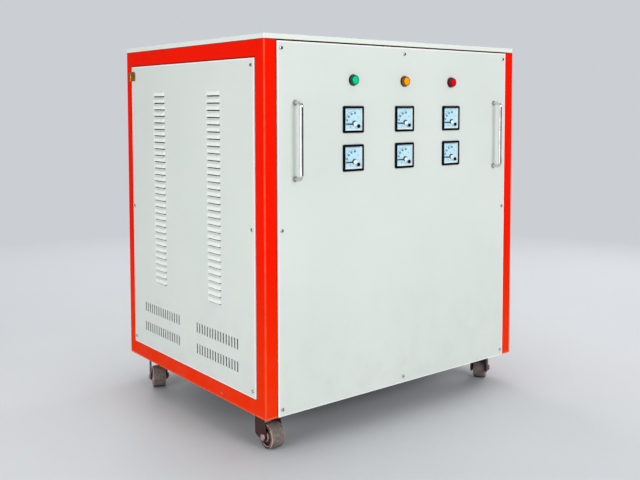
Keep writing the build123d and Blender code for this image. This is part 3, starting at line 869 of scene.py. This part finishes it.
def print_scale(bm, numbers, place):
    """Arc, marks and figures of one dial."""
    arc = [on_dial(scale_sweep * i / arc_steps, scale_radius) for i in range(arc_steps + 1)]
    print_line(bm, arc, arc_width, place)
    steps = (len(numbers) - 1) * minor_marks
    for step in range(steps + 1):
        angle = scale_angle(step / steps)
        mark = major_mark if step % minor_marks == 0 else minor_mark
        ends = [on_dial(angle, radius) for radius in (scale_radius, scale_radius - mark["length"])]
        print_line(bm, ends, mark["width"], place)
    for index, number in enumerate(numbers):
        spot = on_dial(scale_angle(index / (len(numbers) - 1)), number_radius)
        print_number(bm, str(number), number_size, spot, place)


def print_wave(bm, place):
    """Sine wave that stands for alternating current."""
    points = []
    for step in range(wave_steps + 1):
        share = step / wave_steps
        rise = wave_height * math.sin(2 * math.pi * share)
        points.append(Vector((wave_centre[0] + wave_width * (share - 0.5), wave_centre[1] + rise)))
    print_line(bm, points, wave_line, place)


def dial_prints(material):
    """All that is printed on the six dials, and a dark line along each dial's top."""
    half = meter_half - meter_border
    line = slab_outline(-half, half, half - top_line[1], half - top_line[0])
    bm = bmesh.new()
    for place, row in dial_places():
        print_scale(bm, meter_rows[row]["numbers"], place)
        print_wave(bm, place)
        plate(bm, line, 0.0, print_thickness, place)
        for text, spot in small_numbers.items():
            print_number(bm, text, small_number_size, spot, place)
    made_piece("dial_prints", bm, material, smooth=20.0)


def needles(material):
    """Flat pointers, thick near the pivot, resting near zero."""
    bm = bmesh.new()
    for place, row in dial_places():
        points = [on_dial(meter_rows[row]["needle"], radius) for radius in needle_radii]
        stations = list(zip(points, needle_widths))
        for (start, start_width), (end, end_width) in zip(stations, stations[1:]):
            outline = bar_outline(start, end, start_width, end_width)
            plate(bm, outline, needle_lift, needle_lift + needle_gauge, place)
    made_piece("meter_needles", bm, material)


def pivot_covers(white, dark):
    """Round white cap over each pivot, with a dark ring behind it that shows round its upper left side as painted
    shade.
    """
    cap = [(pivot_cover_radius * share, height) for share, height in pivot_cap_shape]
    shade_ring_radius = pivot_cover_radius + pivot_shade_margin
    caps, rings = bmesh.new(), bmesh.new()
    for place, _ in dial_places():
        at_pivot = place @ Matrix.Translation((*pivot_offset, 0.0))
        behind = at_pivot @ Matrix.Translation((*pivot_shade_offset, 0.0))
        turned(caps, cap, 32, at_pivot)
        turned(rings, [(shade_ring_radius, 0.0), (shade_ring_radius, pivot_shade_height)], 32, behind)
    made_piece("pivot_caps", caps, white)
    made_piece("pivot_shade_rings", rings, dark)


def zero_adjusters(material):
    """Slotted zero screw in the lower right of each window."""
    window_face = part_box("meter_windows")[0].y
    slot = slot_outline(0.5 * adjuster_radius, adjuster_slot_width)
    bm = bmesh.new()
    for x, z, _ in meter_centres():
        spot = Vector((x + adjuster_offset[0], window_face, z + adjuster_offset[1]))
        spin = Matrix.Rotation(rng.uniform(-adjuster_turn_radians, adjuster_turn_radians), 4, "Z")
        place = Matrix.Translation(spot) @ facing("front") @ spin
        driven_head(bm, place, adjuster_radius, adjuster_height, slot, adjuster_slot_depth)
    made_piece("zero_adjusters", bm, material)


def dial_liners(material):
    """White walls between each dial and its window, thicker on the right and along the bottom."""
    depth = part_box("meter_dials")[0].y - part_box("meter_windows")[1].y - liner_clearance
    half = meter_half - meter_border - liner_clearance
    sill, head = liner_sill - half, half - liner_wall
    outlines = (
        slab_outline(-half, half, -half, sill),
        slab_outline(-half, half, head, half),
        slab_outline(-half, liner_wall - half, sill, head),
        slab_outline(half - liner_right_wall, half, sill, head),
    )
    bm = bmesh.new()
    for place, _ in dial_places():
        for outline in outlines:
            plate(bm, outline, 0.0, depth, place)
    made_piece("dial_liners", bm, material)


def all_meter_parts(made):
    """Printing, needles, pivots, liners and zero screws of the six meters."""
    ink = moulded("dial_ink", srgb(0, 26, 40), srgb(4, 34, 48), 0.5, specular=0.05)
    white = moulded("dial_trim", srgb(252, 254, 254), srgb(246, 250, 252), 0.4)
    dark = moulded("needle_black", srgb(0, 22, 32), srgb(4, 30, 40), 0.4, specular=0.05)
    dial_prints(ink)
    needles(dark)
    pivot_covers(white, dark)
    dial_liners(white)
    zero_adjusters(made["meter_black"])


# Castor bolts

def castor_bolts(corner, material):
    """Four hexagon nuts with washers and bolt ends under one castor's top plate."""
    low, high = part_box(f"castor_plate_{corner}")
    centre = (low + high) / 2
    level = high.z - castor_plate_gauge
    bevel_in, bevel_down = washer_bevel
    washer = [
        (washer_radius, 0.0),
        (washer_radius, washer_gauge - bevel_down),
        (washer_radius - bevel_in, washer_gauge),
    ]
    top = washer_gauge + nut_height
    nut = [(nut_radius, washer_gauge), (nut_radius, top - nut_bevel), (nut_crown_share * nut_radius, top)]
    tip = top + bolt_end
    end = [(bolt_radius, top), (bolt_radius, tip - bolt_bevel), (bolt_radius - bolt_bevel, tip)]
    bm = bmesh.new()
    for share_x in (-0.5, 0.5):
        for share_y in (-0.5, 0.5):
            across = share_x * castor_bolt_spacing[ACROSS_X]
            along = share_y * castor_bolt_spacing[ACROSS_Y]
            place = Matrix.Translation((centre.x + across, centre.y + along, level)) @ facing("down")
            turned(bm, washer, 28, place)
            turned(bm, nut, 6, place, turn=rng.uniform(0.0, 1.0))
            turned(bm, end, 20, place)
    made_piece(f"castor_bolts_{corner}", bm, material)


# Catches

def catch_details(material):
    """Knuckle collars on each catch's barrel and two small screws in each leaf."""
    low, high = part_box("side_catches")
    joint_y = low.y + catch_panel_leaf
    middle, height = (low.z + high.z) / 2, high.z - low.z
    slot = slot_outline(catch_screw_slot["reach"], catch_screw_slot["width"])
    size = (catch_screw_radius, catch_screw_height, slot, catch_screw_slot["depth"])
    bm = bmesh.new()
    for side, direction in ((-1, "left"), (1, "right")):
        barrel_x = side * (high.x - barrel_radius)
        for share in collar_shares:
            foot = middle + share * (height - collar_height) - collar_height / 2
            place = Matrix.Translation((barrel_x, joint_y, foot))
            turned(bm, [(collar_radius, 0.0), (collar_radius, collar_height)], 20, place)
        leaf_face = side * (high.x - 2 * barrel_radius + catch_leaf_gauge)
        for offset in catch_screw_places:
            for share in catch_screw_shares:
                spot = Vector((leaf_face, joint_y + offset, middle + share * height))
                driven_head(bm, Matrix.Translation(spot) @ facing(direction), *size, segments=16)
    made_piece("catch_details", bm, material)


# Rivets

def rail_rivets(material):
    """One small domed rivet low on each side's bottom rail, near the front."""
    low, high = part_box("side_bottom_rails")
    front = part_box("post_front_left")[0].y
    dome = [
        (rivet_radius, 0.0),
        (0.9 * rivet_radius, 0.5 * rivet_height),
        (0.5 * rivet_radius, rivet_height),
    ]
    bm = bmesh.new()
    for x, direction in ((low.x, "left"), (high.x, "right")):
        spot = Vector((x, front + rivet_from_front, low.z + rivet_level))
        turned(bm, dome, 20, Matrix.Translation(spot) @ facing(direction))
    made_piece("rail_rivets", bm, material)


# Studio

def studio_floor():
    """Wide pale disc that fades into the background colour."""
    bm = bmesh.new()
    loops = tube(bm, [(radius, 0.0) for radius in floor_rings], 96, Matrix.Identity(4))
    bm.faces.new(loops[0])
    mesh = bpy.data.meshes.new("studio_floor")
    bm.to_mesh(mesh)
    bm.free()
    finish = Finish("floor_pale", Roughness=0.75, Specular_IOR_Level=0.15)
    finish.colour(finish.blend(finish.noise(0.8, 3.0), srgb(197, 201, 206), backdrop))
    glow = finish.add("ShaderNodeEmission", {"Color": backdrop, "Strength": 1.0})
    distance = finish.from_axis((0.0, 0.0, 0.0), (0.0, 0.0, 1.0))
    fade = finish.span(distance, *floor_fade)
    joined = finish.add("ShaderNodeMixShader", {0: fade, 1: finish.shader.outputs[0], 2: glow.outputs[0]})
    output = finish.nodes["Material Output"]
    finish.links.new(joined.outputs[0], output.inputs["Surface"])
    mesh.materials.append(finish.material)
    floor = bpy.data.objects.new("studio_floor", mesh)
    bpy.context.scene.collection.objects.link(floor)


def studio_world():
    """Even soft light. Sight lines and clear parts see the plain backdrop, reflections the flags too."""
    world = bpy.data.worlds.new("studio")
    bpy.context.scene.world = world
    world.use_nodes = True
    world.node_tree.nodes.clear()
    graph = Graph(world.node_tree)
    direction = graph.add("ShaderNodeTexCoord").outputs["Generated"]
    flagged = 0.0
    for flag in flag_directions:
        toward = graph.add("ShaderNodeVectorMath", {0: direction, 1: flag}, operation="DOT_PRODUCT")
        flagged = graph.maths("MAXIMUM", flagged, graph.span(toward.outputs["Value"], *flag_edge))
    mirrored = graph.blend(flagged, backdrop, srgb(30, 30, 32))
    light = graph.add("ShaderNodeBackground", {"Color": srgb(255, 253, 250), "Strength": world_strength})
    seen = graph.add("ShaderNodeBackground", {"Color": backdrop, "Strength": 1.0})
    reflected = graph.add("ShaderNodeBackground", {"Color": mirrored, "Strength": 1.0})
    path = graph.add("ShaderNodeLightPath").outputs
    straight = graph.maths("MAXIMUM", path["Is Camera Ray"], path["Is Transmission Ray"])
    choices = {0: path["Is Glossy Ray"], 1: light.outputs[0], 2: reflected.outputs[0]}
    bounced = graph.add("ShaderNodeMixShader", choices)
    mix = graph.add("ShaderNodeMixShader", {0: straight, 1: bounced.outputs[0], 2: seen.outputs[0]})
    graph.add("ShaderNodeOutputWorld", {"Surface": mix.outputs[0]})


def studio_lamps():
    """Soft rectangular lamps round and above the cabinet, each turned to its aim."""
    for name, lamp in studio_lights.items():
        data = bpy.data.lights.new(name, "AREA")
        data.shape = "RECTANGLE"
        data.size, data.size_y = lamp["size"]
        data.energy = lamp["watts"]
        light = bpy.data.objects.new(name, data)
        light.location = lamp["place"]
        toward = Vector(lamp["aim"]) - Vector(lamp["place"])
        light.rotation_euler = toward.to_track_quat("-Z", "Y").to_euler()
        bpy.context.scene.collection.objects.link(light)


def camera():
    """Camera at the photograph's viewing angle."""
    data = bpy.data.cameras.new("camera")
    data.lens = camera_lens
    data.shift_x, data.shift_y = camera_shift
    data.clip_start, data.clip_end = 0.05, 100.0
    made = bpy.data.objects.new("camera", data)
    made.location = camera_place
    made.rotation_euler = (math.radians(camera_tilt), 0.0, math.radians(camera_heading))
    bpy.context.scene.collection.objects.link(made)
    bpy.context.scene.camera = made


def build():
    """Dresses the CAD nodes, adds the small pieces and sets the studio."""
    made = finishes()
    dress_nodes(made)
    nickel = polished_metal("screw_nickel", srgb(214, 216, 214), srgb(182, 186, 184), 0.07, 0.15, 3.0 * MM)
    all_panel_screws(nickel)
    all_meter_parts(made)
    for corner in ("front_left", "front_right", "back_left", "back_right"):
        castor_bolts(corner, made["castor_bolt"])
    catch_details(made["catch_brass"])
    rail_rivets(nickel)
    camera()
    studio_floor()
    studio_world()
    studio_lamps()
    bpy.context.scene.view_settings.view_transform = "Standard"


build()
